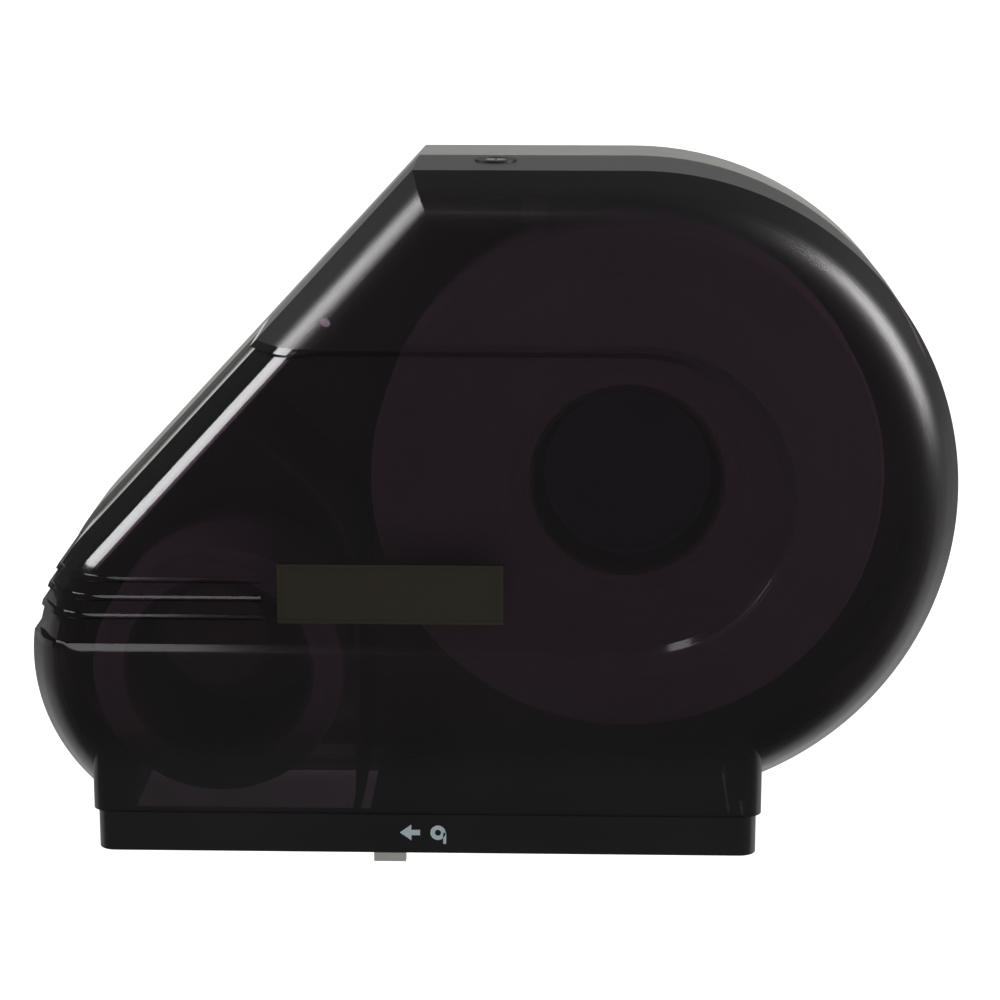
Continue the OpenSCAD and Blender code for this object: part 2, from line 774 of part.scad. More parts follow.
// Ears reach back beside the band's walls to the hinge axis
module cover_ears() {
    ear_front = split_z + 25;
    for (x = [ear_left, ear_right - ear_t]) translate([x, hinge_y, 0]) {
        translate([0, 0, hinge_z]) rotate([0, 90, 0]) cylinder(h = ear_t, r = ear_r);
        translate([0, -ear_r, hinge_z]) cube([ear_t, 2 * ear_r, ear_front - hinge_z]);
    }
    for (x = [ear_left - over, ear_right]) translate([x, hinge_y - ear_r, split_z + over])
        cube([over, 2 * ear_r, ear_front - split_z - over]);
}

module badge_pocket_cut() {
    translate([badge_x - close, badge_y - close, window_z - badge_pocket])
        cube([badge_w + 2 * close, badge_h + 2 * close, badge_pocket + over]);
}

module badge_plate() {
    border = 1.6;
    color([0.18, 0.17, 0.12]) wall_frame() difference() {
        translate([badge_x, badge_y, window_z - badge_pocket]) cube([badge_w, badge_h, badge_t]);
        translate([badge_x + border, badge_y + border, window_z - badge_pocket + badge_t - 0.4])
            cube([badge_w - 2 * border, badge_h - 2 * border, 1]);
    }
}

// ---- lock ----

// Lock parts are drawn along the lock's own axis, which points up
module at_lock(y) { translate([lock_x, y, lock_z]) rotate([-90, 0, 0]) children(); }

module lock_housing() {
    color([0.2, 0.2, 0.2]) wall_frame() difference() {
        union() {
            at_lock(housing_y) cylinder(h = top_y - housing_y, r = lock_r);
            at_lock(top_y) cylinder(h = bezel[1], r = bezel[0]);
        }
        at_lock(housing_y - over) cylinder(h = 60, r = plug_r + fit);
    }
}

module lock_nut() {
    color("silver") wall_frame() difference() {
        at_lock(roof_y - nut_t) cylinder(h = nut_t, r = nut_r, $fn = 6);
        at_lock(roof_y - nut_t - over) cylinder(h = nut_t + 2 * over, r = lock_r + fit);
    }
}

module lock_plug() {
    color("silver") wall_frame() difference() {
        union() {
            at_lock(cam_top) cylinder(h = top_y + 0.4 - cam_top, r = plug_r);
            at_lock(cam_y) cylinder(h = sheet_t + over, r = neck_r);
        }
        translate([lock_x - 0.6, top_y - 2, lock_z - 3]) cube([1.2, 10, 6]);
        at_lock(cam_y - over) cylinder(h = 9, r = pilot - 0.2);
    }
}

module lock_cam() {
    color("silver") wall_frame() difference() {
        union() {
            at_lock(cam_y) cylinder(h = sheet_t, r = cam_w / 2);
            translate([lock_x - cam_w / 2, cam_y, lock_z - cam_l])
                cube([cam_w, sheet_t, cam_l]);
        }
        at_lock(cam_y - over) cylinder(h = sheet_t + 2 * over, r = neck_r + close);
    }
}

module cam_screw() {
    color("silver") wall_frame() {
        at_lock(cam_y - 2) cylinder(h = 2, r = 4.5);
        at_lock(cam_y - 2) cylinder(h = 8, r = 1.5);
    }
}

// Bracket from the back plate: its upturned end stands in front of the turned cam
module lock_strike() {
    width = strike_x[1] - strike_x[0];
    color("silver") wall_frame() difference() {
        union() {
            translate([strike_x[0], strike_arm_y - strike_foot, plate_t])
                cube([width, strike_foot + strike_bend, sheet_t]);
            translate([strike_x[0], strike_arm_y, plate_t])
                cube([width, sheet_t, strike_z + sheet_t - plate_t]);
            translate([strike_x[0], strike_arm_y, strike_z])
                cube([width, strike_top - strike_arm_y, sheet_t]);
            translate([strike_x[0], strike_arm_y, plate_t]) rotate([90, 0, 90])
                linear_extrude(sheet_t) polygon([[0, 0], [strike_bend, 0],
                    [strike_bend, strike_web[0]], [0, strike_web[1]]]);
        }
        for (p = strike_holes()) translate([p.x, p.y, 0]) cylinder(h = 20, r = pilot + fit);
    }
}

module strike_screws() {
    color("silver") wall_frame()
        for (p = strike_holes()) translate([p.x, p.y, plate_t + sheet_t])
            screw(small_screw, sheet_t + plate_t - 0.5);
}

// ---- rolls ----

module tube(c, r0, r1) {
    translate([c.x, c.y, roll_z]) difference() {
        cylinder(h = roll_w, r = r1);
        translate([0, 0, -over]) cylinder(h = roll_w + 2 * over, r = r0);
    }
}

module main_roll_core() { color([0.6, 0.5, 0.38]) wall_frame() tube(main_core, core_r, core_r + core_t); }

module main_roll_paper() {
    color([0.9, 0.88, 0.87]) wall_frame() tube(main_core, core_r + core_t + paper_gap, roll_r);
}

module stub_roll_core() { color([0.6, 0.5, 0.38]) wall_frame() tube(stub_core, core_r, core_r + core_t); }

module stub_roll_paper() {
    color([0.9, 0.88, 0.87]) wall_frame() tube(stub_core, core_r + core_t + paper_gap, stub_roll_r);
}

back_tray();
divider_wall();
divider_screws();
main_spindle();
stub_spindle();
spindle_screws();
hub_drum();
hub_screw();
base_frame();
frame_screws();
tear_bar_left();
tear_bar_right();
tear_bar_rivets();
hinge_pins();
lock_strike();
strike_screws();
cover();
badge_plate();
lock_housing();
lock_nut();
lock_plug();
lock_cam();
cam_screw();
shutter();
main_roll_core();
main_roll_paper();
stub_roll_core();
stub_roll_paper();
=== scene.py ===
import random
from math import cos, hypot, pi, radians, sin, tan

import bmesh
import bpy
from mathutils import Matrix, Vector


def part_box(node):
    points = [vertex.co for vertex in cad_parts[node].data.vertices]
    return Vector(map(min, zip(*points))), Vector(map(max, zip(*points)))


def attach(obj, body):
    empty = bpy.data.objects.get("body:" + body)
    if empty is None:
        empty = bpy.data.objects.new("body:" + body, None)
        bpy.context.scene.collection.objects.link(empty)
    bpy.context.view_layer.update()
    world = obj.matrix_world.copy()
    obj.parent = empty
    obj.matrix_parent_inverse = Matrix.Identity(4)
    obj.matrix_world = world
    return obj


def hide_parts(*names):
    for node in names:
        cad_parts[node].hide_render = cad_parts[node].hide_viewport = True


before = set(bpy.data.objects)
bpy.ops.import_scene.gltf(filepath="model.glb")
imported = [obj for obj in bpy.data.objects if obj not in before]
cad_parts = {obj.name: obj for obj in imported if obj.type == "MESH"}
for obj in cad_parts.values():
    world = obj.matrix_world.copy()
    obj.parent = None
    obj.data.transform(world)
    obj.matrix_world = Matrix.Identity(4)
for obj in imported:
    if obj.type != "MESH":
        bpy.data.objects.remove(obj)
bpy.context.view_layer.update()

# ---- Back tray ---------------------------------------------------------------------------------
# The grey shell that is screwed flat to the wall and carries everything else. It is moulded in
# one piece from ABS, and the mould leaves a fine spark-eroded grain on it.

MM = 0.001


def add_node(tree, kind, settings, inputs, output=0):
    """Adds a node, sets it up, and fills or links its inputs. Returns one output as a Value."""
    node = tree.nodes.new(kind)
    for name, setting in settings.items():
        if name == "stops":
            ramp = node.color_ramp
            while len(ramp.elements) < len(setting):
                ramp.elements.new(1)
            for element, (place, tone) in zip(ramp.elements, setting):
                element.position = place
                element.color = (*tone, 1) if len(tone) == 3 else tone
        else:
            setattr(node, name, setting)
    for name, value in inputs.items():
        if isinstance(value, Value):
            tree.links.new(value.socket, node.inputs[name])
        else:
            node.inputs[name].default_value = value
    return Value(node.outputs[output])


class Value:
    """One output of a shader node. Arithmetic with it adds Math nodes to the same tree."""

    def __init__(self, socket):
        self.socket = socket

    def math(self, operation, *numbers, clamp=False):
        settings = {"operation": operation, "use_clamp": clamp}
        return add_node(self.socket.id_data, "ShaderNodeMath", settings, dict(enumerate(numbers)))

    def __add__(self, other):
        return self.math("ADD", self, other)

    __radd__ = __add__

    def __sub__(self, other):
        return self.math("SUBTRACT", self, other)

    def __rsub__(self, other):
        return self.math("SUBTRACT", other, self)

    def __mul__(self, other):
        return self.math("MULTIPLY", self, other)

    __rmul__ = __mul__

    def __truediv__(self, other):
        return self.math("DIVIDE", self, other)

    def root(self):
        return self.math("SQRT", self)

    def at_least(self, other):
        return self.math("MAXIMUM", self, other)

    def absolute(self):
        return self.math("ABSOLUTE", self)

    def fraction(self):
        return self.math("FRACT", self)

    def wave(self):
        return self.math("SINE", self)

    def turn_from(self, across):
        """The angle of the direction (across, self), in radians."""
        return self.math("ARCTAN2", self, across)

    def step(self, low, high):
        """0 below low and 1 above high, with a smooth rise between."""
        settings = {"interpolation_type": "SMOOTHSTEP"}
        inputs = {"Value": self, "From Min": low, "From Max": high}
        return add_node(self.socket.id_data, "ShaderNodeMapRange", settings, inputs)


class Finish:
    """A material with a Principled shader, whose constants are set on the shader's own sockets."""

    def __init__(self, name, **constants):
        self.material = bpy.data.materials.new(name)
        self.material.use_nodes = True
        self.tree = self.material.node_tree
        self.shader = self.tree.nodes["Principled BSDF"]
        for socket, value in constants.items():
            value = (*value, 1) if isinstance(value, tuple) and len(value) == 3 else value
            self.shader.inputs[socket.replace("_", " ")].default_value = value
        self.spot = self.node("ShaderNodeTexCoord", {}, {}, "Object")

    def node(self, kind, settings, inputs, output=0):
        return add_node(self.tree, kind, settings, inputs, output)

    def axes(self):
        """The place on the object along X, Y and Z, in metres."""
        parts = self.node("ShaderNodeSeparateXYZ", {}, {0: self.spot}).socket.node
        return [Value(out) for out in parts.outputs]

    def stretched(self, x, y, z):
        """Coordinates for a pattern that is drawn out along an axis with a small factor."""
        return self.node("ShaderNodeMapping", {}, {"Vector": self.spot, "Scale": (x, y, z)})

    def noise(self, grain_mm, detail=2.0, roughness=0.5, where=None):
        """Noise from 0 to 1 whose blotches are about grain_mm across."""
        inputs = {"Vector": where or self.spot, "Scale": 1 / (grain_mm * MM), "Detail": detail,
                  "Roughness": roughness}
        return self.node("ShaderNodeTexNoise", {}, inputs)

    def shades(self, value, *stops):
        """A colour from a ramp of (place, colour) stops."""
        return self.node("ShaderNodeValToRGB", {"stops": stops}, {0: value})

    def blend(self, share, first, second):
        """The first colour where share is 0 and the second where it is 1."""
        pick = {"data_type": "RGBA", "clamp_factor": True}
        tones = [(*tone, 1) if isinstance(tone, tuple) else tone for tone in (first, second)]
        return self.node("ShaderNodeMix", pick, {0: share, 6: tones[0], 7: tones[1]}, 2)

    def feed(self, socket, value):
        self.tree.links.new(value.socket, self.shader.inputs[socket])

    def relief(self, height, depth_mm, strength=1.0):
        """Bumps the surface by height, from 0 to 1, times depth_mm."""
        inputs = {"Height": height, "Distance": depth_mm * MM, "Strength": strength}
        self.feed("Normal", self.node("ShaderNodeBump", {}, inputs))

    def dress(self, *names):
        """Gives the finish to CAD nodes."""
        for name in names:
            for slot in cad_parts[name].material_slots:
                slot.material = self.material


def moulded_grey(name, tone, grain_mm=0.55):
    """Matt moulded ABS: a fine even grain, faint flow marks and a little dust grey."""
    finish = Finish(name, Specular_IOR_Level=0.42)
    flow = finish.noise(46, 3.0, 0.6)
    speck = finish.noise(grain_mm, 3.0, 0.65)
    light, dark = tuple(t * 1.07 for t in tone), tuple(t * 0.90 for t in tone)
    finish.feed("Base Color", finish.shades(flow * 0.8 + speck * 0.2, (0.32, dark), (0.70, light)))
    finish.feed("Roughness", 0.46 + 0.12 * flow + 0.08 * speck)
    finish.relief(speck, 0.06)
    return finish


GREY = (0.300, 0.300, 0.286)
moulded_grey("grey_tray_plastic", GREY).dress("back_tray")

# ---- Divider, spindles and base frame ----------------------------------------------------------
# Grey mouldings of the same plastic inside the tray: the wall between the two rolls, the tube
# that each roll hangs on, and the frame with its rails across the open bottom.

inner_grey = moulded_grey("grey_inner_plastic", tuple(tone * 1.04 for tone in GREY), 0.4)
inner_grey.dress("divider_wall", "main_spindle", "stub_spindle", "base_frame")

# ---- Shutter -----------------------------------------------------------------------------------
# The sliding plate that closes the side that is not in use. It is thinner and paler than the
# frame, and its finger tab, which sticks out below, is rubbed smooth.

shutter_grey = moulded_grey("grey_shutter_plastic", tuple(tone * 1.16 for tone in GREY), 0.4)
height = shutter_grey.axes()[2]
TAB_RUBBED, TAB_ROUGH = -0.170, -0.158
rubbed = 1 - height.step(TAB_RUBBED, TAB_ROUGH)
shutter_grey.feed("Roughness", 0.55 - 0.22 * rubbed + 0.06 * shutter_grey.noise(3.0))
shutter_grey.dress("shutter")

# ---- Hub drum ----------------------------------------------------------------------------------
# The drum that widens the main spindle for a jumbo core. It is moulded in a slate-blue plastic,
# satin from the core that slides round it, with rub marks that run round its wall.

drum = Finish("slate_drum_plastic", Specular_IOR_Level=0.5)
drum_rub = drum.noise(2.2, 3.0, where=drum.stretched(0.08, 1.0, 0.08))
drum_flow = drum.noise(30)
drum.feed("Base Color", drum.shades(drum_flow, (0.3, (0.150, 0.166, 0.240)),
                                    (0.7, (0.185, 0.203, 0.286))))
drum.feed("Roughness", 0.34 + 0.16 * drum_rub)
drum.relief(drum.noise(0.5, 3.0, 0.6), 0.05)
drum.dress("hub_drum")

# ---- Screws and rivets -------------------------------------------------------------------------
# Zinc-plated pan-head screws with a cross recess hold the inner pieces to the tray, and
# flat-headed rivets hold the tear bars. All are bought in.

ZINC = (0.60, 0.61, 0.62)


def bright_metal(name, tone, roughness, brushed=(1, 1, 1)):
    """Plated or rolled metal with fine marks, drawn out along one axis if it is brushed."""
    finish = Finish(name, Metallic=0.7)
    marks = finish.noise(0.5, 4.0, 0.7, finish.stretched(*brushed))
    haze = finish.noise(9.0, 2.0)
    light, dark = tuple(min(1, t * 1.10) for t in tone), tuple(t * 0.82 for t in tone)
    finish.feed("Base Color", finish.shades(haze * 0.6 + marks * 0.4, (0.3, dark), (0.7, light)))
    finish.feed("Roughness", roughness + 0.16 * marks + 0.05 * haze)
    finish.relief(marks, 0.012)
    return finish


zinc = bright_metal("zinc_plate", ZINC, 0.24)


def new_mesh(name, bm, *finishes, smooth_below=30):
    """Makes an object from a bmesh drawn in millimetres: smooth, but for edges over an angle."""
    bm.normal_update()
    mesh = bpy.data.meshes.new(name)
    bm.to_mesh(mesh)
    bm.free()
    for finish in finishes:
        mesh.materials.append(finish.material)
    mesh.shade_smooth()
    mesh.set_sharp_from_angle(angle=radians(smooth_below))
    piece = bpy.data.objects.new(name, mesh)
    bpy.context.scene.collection.objects.link(piece)
    return piece


def turned(bm, profile, steps):
    """Revolves a closed profile of (radius, depth) points round the Y axis into bm."""
    corners = [bm.verts.new((r, y, 0)) for r, y in profile]
    edges = [bm.edges.new(pair) for pair in zip(corners, corners[1:] + corners[:1])]
    bmesh.ops.spin(bm, geom=corners + edges, axis=(0, 1, 0), cent=(0, 0, 0), angle=2 * pi,
                   steps=steps, use_merge=True)
    bmesh.ops.remove_doubles(bm, verts=bm.verts, dist=1e-4)
    bmesh.ops.recalc_face_normals(bm, faces=bm.faces)


def combined(base, operation, *tools):
    """Joins the tools to base, or cuts them from it, and deletes them."""
    for tool in tools:
        cut = base.modifiers.new("cut", "BOOLEAN")
        cut.operation, cut.solver, cut.object = operation, "EXACT", tool
    evaluated = base.evaluated_get(bpy.context.evaluated_depsgraph_get())
    mesh = bpy.data.meshes.new_from_object(evaluated)
    base.modifiers.clear()
    base.data = mesh
    for tool in tools:
        bpy.data.objects.remove(tool)
    return base


def brick(bm, low, high):
    """Adds a box between two corners to bm and returns its corners."""
    made = bmesh.ops.create_cube(bm, size=1)["verts"]
    low, high = Vector(low), Vector(high)
    bmesh.ops.scale(bm, vec=high - low, verts=made)
    bmesh.ops.translate(bm, vec=(low + high) / 2, verts=made)
    return made


SHANK_R, SCREW_STEPS = 1.7, 32


def cross_head_screw(head_r, head_h, length):
    """A pan-head screw along Y: its head in front of y = 0 and its shank behind. Millimetres."""
    dome = [(head_r * cos(a), -head_h * (0.35 + 0.65 * sin(a))) for a in (1.2, 0.9, 0.6, 0.3, 0)]
    shank = [(head_r, 0), (SHANK_R, 0), (SHANK_R, length - 1), (0.45 * SHANK_R, length), (0, length)]
    bm = bmesh.new()
    turned(bm, [(0, -head_h)] + dome + shank, SCREW_STEPS)
    screw = new_mesh("screw", bm)
    arm, width, depth = 0.62 * head_r, 0.17 * head_r, 0.75 * head_h
    arms = []
    for across, up in ((arm, width), (width, arm)):
        recess = bmesh.new()
        brick(recess, (-across, -head_h - 1, -up), (across, -head_h + depth, up))
        arms.append(new_mesh("recess", recess))
    return combined(screw, "DIFFERENCE", *arms)


def loose_boxes(node):
    """The box of each separate solid of a CAD node, in metres."""
    bm = bmesh.new()
    bm.from_mesh(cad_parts[node].data)
    bmesh.ops.remove_doubles(bm, verts=bm.verts, dist=1e-7)
    todo, found = set(bm.verts), []
    while todo:
        group, edge = set(), [todo.pop()]
        while edge:
            corner = edge.pop()
            group.add(corner)
            near = {e.other_vert(corner) for e in corner.link_edges} & todo
            todo -= near
            edge.extend(near)
        places = [v.co for v in group]
        low = Vector([min(p[i] for p in places) for i in range(3)])
        high = Vector([max(p[i] for p in places) for i in range(3)])
        found.append((low, high))
    bm.free()
    return sorted(found, key=lambda pair: tuple(pair[0]))


def fit_screws(node, name, head_r, head_h):
    """Puts a screw in the place of each solid of a CAD node, each turned its own way."""
    boxes = loose_boxes(node)
    length = (boxes[0][1].y - boxes[0][0].y) / MM - head_h
    pattern = cross_head_screw(head_r, head_h, length)
    bm = bmesh.new()
    for index, (low, high) in enumerate(boxes):
        spot = Vector(((low.x + high.x) / 2, low.y + head_h * MM, (low.z + high.z) / 2))
        copy = pattern.data.copy()
        twist = Matrix.Rotation(radians(37 * index + 11), 4, "Y")
        copy.transform(Matrix.Translation(spot) @ Matrix.Scale(MM, 4) @ twist)
        bm.from_mesh(copy)
    bpy.data.objects.remove(pattern)
    piece = new_mesh(name, bm, zinc)
    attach(piece, "back")
    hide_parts(node)


SMALL_HEAD, HUB_HEAD = (2.8, 2.0), (5.0, 2.5)
for held in ("divider", "spindle", "frame", "strike"):
    fit_screws(f"{held}_screws", f"{held}_cross_screws", *SMALL_HEAD)
fit_screws("hub_screw", "hub_cross_screw", *HUB_HEAD)

bright_metal("rivet_metal", (0.55, 0.55, 0.55), 0.30).dress("tear_bar_rivets")

# ---- Tear bars ---------------------------------------------------------------------------------
# Two strips of stainless steel with punched teeth, riveted to the front rail, on which the
# paper is torn off. They are brushed along their length.

bright_metal("brushed_stainless", (0.66, 0.65, 0.63), 0.27, (0.05, 1, 1)).dress(
    "tear_bar_left", "tear_bar_right")

# ---- Hinge pins and lock strike ----------------------------------------------------------------
# Turned steel pins on which the cover swings down, and a bent bracket of galvanised sheet that
# the lock's cam catches.

bright_metal("turned_steel", (0.58, 0.58, 0.59), 0.22, (1, 0.1, 0.1)).dress("hinge_pins")
galvanised = bright_metal("galvanised_sheet", (0.50, 0.51, 0.52), 0.34)
SPANGLES_PER_M = 260
spangle = galvanised.node("ShaderNodeTexVoronoi", {},
                          {"Vector": galvanised.spot, "Scale": SPANGLES_PER_M}, "Color")
spangle_tone = galvanised.node("ShaderNodeSeparateColor", {}, {0: spangle}, 0)
galvanised.feed("Base Color", galvanised.shades(spangle_tone, (0, (0.40, 0.41, 0.42)),
                                                (1, (0.60, 0.61, 0.62))))
galvanised.feed("Roughness", 0.26 + 0.22 * spangle_tone)
galvanised.dress("lock_strike")

# ---- Roll cores --------------------------------------------------------------------------------
# Tubes of grey-brown card, wound from a strip in a steep spiral, so a seam runs round each one.
# The ends are cut square and show the card's plies.

CORE_STEPS = 128
CARD_PLIES = 3
SEAM_PITCH = 0.075


def ring_solid(node, radii, edge_r, face_rings, ripple, steps):
    """A tube in the place of a CAD node, from (inner, outer) radii in millimetres, with rounded
    edges and faces that ripple in and out by up to ripple."""
    low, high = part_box(node)
    middle = (low + high) / 2 / MM
    front, back = low.y / MM, high.y / MM
    inner, outer = radii
    chance = random.Random(len(node))
    bends = [radians(step) for step in (0, 30, 60, 90)]
    round_in = [(inner + edge_r * (1 - cos(a)), front + edge_r * (1 - sin(a))) for a in bends]
    round_out = [(outer - edge_r * (1 - cos(a)), front + edge_r * (1 - sin(a))) for a in bends[::-1]]
    face = []
    for ring in range(1, face_rings):
        share = ring / face_rings
        radius = inner + edge_r + (outer - inner - 2 * edge_r) * share
        face.append((radius, front + ripple * chance.random() * (0.4 + 0.6 * (ring % 2))))
    half = round_in + face + round_out
    mirrored = [(r, front + back - y) for r, y in half[::-1]]
    bm = bmesh.new()
    turned(bm, half + mirrored, steps)
    bmesh.ops.translate(bm, vec=(middle.x, 0, middle.z), verts=bm.verts)
    return bm, Vector((middle.x, (front + back) / 2, middle.z))


def card_finish(name, centre):
    """Card with fibres along the winding and a seam that climbs round the tube."""
    card = Finish(name, Roughness=0.86, Specular_IOR_Level=0.25)
    x, y, z = card.axes()
    turn = (z - centre.z * MM).turn_from(x - centre.x * MM) / (2 * pi)
    along = (turn + y / SEAM_PITCH).fraction()
    seam = 1 - along.step(0.0, 0.012)
    fibre = card.noise(0.9, 4.0, 0.7, card.stretched(1, 0.35, 1))
    blotch = card.noise(14)
    tone = card.shades(fibre * 0.6 + blotch * 0.4, (0.30, (0.230, 0.170, 0.115)),
                       (0.70, (0.345, 0.262, 0.185)))
    card.feed("Base Color", card.blend(seam * 0.55, tone, (0.12, 0.085, 0.055)))
    card.relief(fibre * 0.5 - seam, 0.12)
    return card


def fit_piece(bm, name, node, body, finish):
    """Scales a bmesh from millimetres, and puts it on its body in the place of a CAD node."""
    bmesh.ops.scale(bm, vec=(MM, MM, MM), verts=bm.verts)
    piece = new_mesh(name, bm, finish)
    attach(piece, body)
    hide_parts(node)
    return piece


def node_radii(node):
    """Inner and outer radius of a tube that lies along Y, in millimetres."""
    low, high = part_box(node)
    middle = (low + high) / 2
    reach = [hypot(v.co.x - middle.x, v.co.z - middle.z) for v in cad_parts[node].data.vertices]
    return min(reach) / MM, max(reach) / MM


for roll in ("main", "stub"):
    node = f"{roll}_roll_core"
    bm, centre = ring_solid(node, node_radii(node), 0.3, CARD_PLIES, 0.12, CORE_STEPS)
    card = card_finish(f"{roll}_core_card", centre)
    fit_piece(bm, f"{roll}_card_core", node, f"{roll}_roll", card)

# ---- Paper rolls -------------------------------------------------------------------------------
# Soft two-ply tissue wound on each core. The wound layers show as fine rings on the ends, the
# outside is embossed with small dots, and the free end of the sheet lies on the roll.

PAPER_STEPS = 224
PAPER_EDGE_R = 1.6
PLY = 0.35
RING_PITCH = 1.1
DOTS_ROUND, DOT_TURN_PER_M = 90, 2200
ROLL_FLAT = 0.0445
RIPPLE = 0.35


def paper_finish(name, centre):
    """White tissue: rings on the ends, embossed dots outside and soft fibres all over."""
    paper = Finish(name, Roughness=0.92, Specular_IOR_Level=0.15)
    x, y, z = paper.axes()
    across, up = x - centre.x * MM, z - centre.z * MM
    radius = (across * across + up * up).root()
    wobble = paper.noise(25) * 0.0003
    rings = ((radius + wobble) * (2 * pi / (RING_PITCH * MM))).wave()
    bands = paper.noise(5.0, 3.0, 0.7, paper.node("ShaderNodeCombineXYZ", {}, {0: radius, 1: 0.0, 2: 0.0}))
    fibre = paper.noise(0.6, 4.0, 0.7)
    cloud = paper.noise(30)
    tone = paper.shades(bands * 0.55 + fibre * 0.25 + cloud * 0.20,
                        (0.30, (0.66, 0.645, 0.62)), (0.62, (0.84, 0.83, 0.81)))
    paper.feed("Base Color", tone)
    dots = (up.turn_from(across) * DOTS_ROUND).wave() * (y * DOT_TURN_PER_M).wave()
    on_end = (y - centre.y * MM).absolute().step(ROLL_FLAT, ROLL_FLAT + 0.001)
    paper.relief(on_end * rings * 0.5 + (1 - on_end) * dots * 0.5 + fibre * 0.4, 0.16)
    return paper


for roll in ("main", "stub"):
    node = f"{roll}_roll_paper"
    inner, outer = node_radii(node)
    rings = int((outer - inner) / RING_PITCH)
    bm, centre = ring_solid(node, (inner, outer), PAPER_EDGE_R, rings, RIPPLE, PAPER_STEPS)
    for corner in bm.verts:
        reach = Vector((corner.co.x - centre.x, 0, corner.co.z - centre.z))
        if reach.length > outer - PAPER_EDGE_R:
            share = (Vector((reach.x, reach.z)).angle_signed(Vector((1, 0)), 0) / (2 * pi)) % 1
            corner.co -= reach.normalized() * PLY * share
    paper = paper_finish(f"{roll}_tissue", centre)
    fit_piece(bm, f"{roll}_tissue_roll", node, f"{roll}_roll", paper)

# ---- Cover -------------------------------------------------------------------------------------
# One large injection moulding in smoked polycarbonate, hinged at the bottom. The shell is lightly
# textured, and the recessed window that wraps round its left side is polished. Three short ribs
# and a pocket for a plate lie in the window, and a band runs round the foot.

FRONT_VIEW = Matrix(((MM, 0, 0, 0), (0, 0, -MM, 0), (0, MM, 0, 0), (0, 0, 0, 1)))
cover_low, cover_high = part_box("cover")
FOOT_TOP = -100.0
BAND_H, BAND_STEP, BAND_PROUD, BAND_R = 18.5, 2.4, 1.2, 8.0
ROUND_R, NOSE_R, NOSE_Y = 147.5, 86.0, -75.0
ROUND = Vector((cover_high.x / MM - ROUND_R, cover_high.z / MM - ROUND_R, 0))
NOSE = Vector((cover_low.x / MM + NOSE_R, NOSE_Y, 0))
SLOPE = radians(47.18)
FOOT_Y = cover_low.z / MM
FOOT_LEFT, FOOT_RIGHT = -188.5, 121.5
SPLIT_Z, CREASE_Z = 50.0, 110.0
EDGE_R, EDGE_FLAT, EDGE_ANGLE = 24.0, 14.4, radians(65)
EDGE_W = EDGE_R * sin(EDGE_ANGLE) + EDGE_FLAT * cos(EDGE_ANGLE)
FRONT_Z = CREASE_Z + EDGE_R * (1 - cos(EDGE_ANGLE)) + EDGE_FLAT * sin(EDGE_ANGLE)
SHELL_T, RECESS = 2.5, 2.5
WINDOW_R, WINDOW_BEVEL = 67.0, 3.0
ARC_STEPS, ROUND_STEPS, NOSE_STEPS, WINDOW_STEPS, RIB_STEPS = 14, 180, 132, 144, 32
FAR_LEFT = FOOT_LEFT - 60
OUT = Vector((0, 0, 1))
SLOPE_OUT = Vector((-sin(SLOPE), cos(SLOPE), 0))
SLOPE_DOWN = Vector((-cos(SLOPE), -sin(SLOPE), 0))
TOP_Y = ROUND.y + ROUND_R
CORNER = Vector((NOSE.x + ((TOP_Y - NOSE.y) * cos(SLOPE) - NOSE_R) / sin(SLOPE), TOP_Y, 0))


def run_on(bm, edges, along, place, across):
    """Extrudes an open section along a direction, up to the plane through place."""
    grown = bmesh.ops.extrude_edge_only(bm, edges=edges)["geom"]
    for corner in (part for part in grown if isinstance(part, bmesh.types.BMVert)):
        corner.co += along * ((place - corner.co).dot(across) / along.dot(across))
    return [part for part in grown if isinstance(part, bmesh.types.BMEdge)
            and all(corner in grown for corner in part.verts)]


def turn_on(bm, edges, centre, angle, steps):
    """Turns an open section round an upright centre line."""
    corners = {corner for edge in edges for corner in edge.verts}
    made = bmesh.ops.spin(bm, geom=edges + list(corners), cent=centre, axis=OUT, angle=angle, steps=steps)
    return [part for part in made["geom_last"] if isinstance(part, bmesh.types.BMEdge)]


def dome_body(inset, back):
    """The cover's upper form as a closed solid, drawn inset from its outside."""
    bm = bmesh.new()
    shift = inset * tan((pi / 2 - EDGE_ANGLE) / 2)
    section = [(inset, back), (inset, CREASE_Z - shift)]
    for step in range(ARC_STEPS + 1):
        slant = EDGE_ANGLE * (1 - step / ARC_STEPS)
        section.append((EDGE_W - (EDGE_R - inset) * sin(slant),
                        FRONT_Z - EDGE_R + (EDGE_R - inset) * cos(slant)))
    corners = [bm.verts.new((ROUND.x, ROUND.y - ROUND_R + reach, depth)) for reach, depth in section]
    first = [bm.edges.new(pair) for pair in zip(corners, corners[1:])]
    edges = turn_on(bm, first, ROUND, pi, ROUND_STEPS)
    mitre = Vector((1 + SLOPE_OUT.y, -SLOPE_OUT.x, 0)).normalized()
    edges = run_on(bm, edges, Vector((-1, 0, 0)), CORNER, mitre)
    edges = run_on(bm, edges, SLOPE_DOWN, NOSE, SLOPE_DOWN)
    edges = turn_on(bm, edges, NOSE, pi - SLOPE, NOSE_STEPS)
    last = Vector((ROUND.x - NOSE.x, ROUND.y - ROUND_R - NOSE.y + NOSE_R, 0)).normalized()
    run_on(bm, edges, last, ROUND, Vector((1, 0, 0)))
    bmesh.ops.remove_doubles(bm, verts=bm.verts, dist=1e-3)
    bmesh.ops.holes_fill(bm, edges=[edge for edge in bm.edges if edge.is_boundary], sides=0)
    bmesh.ops.recalc_face_normals(bm, faces=bm.faces)
    return new_mesh("dome", bm)


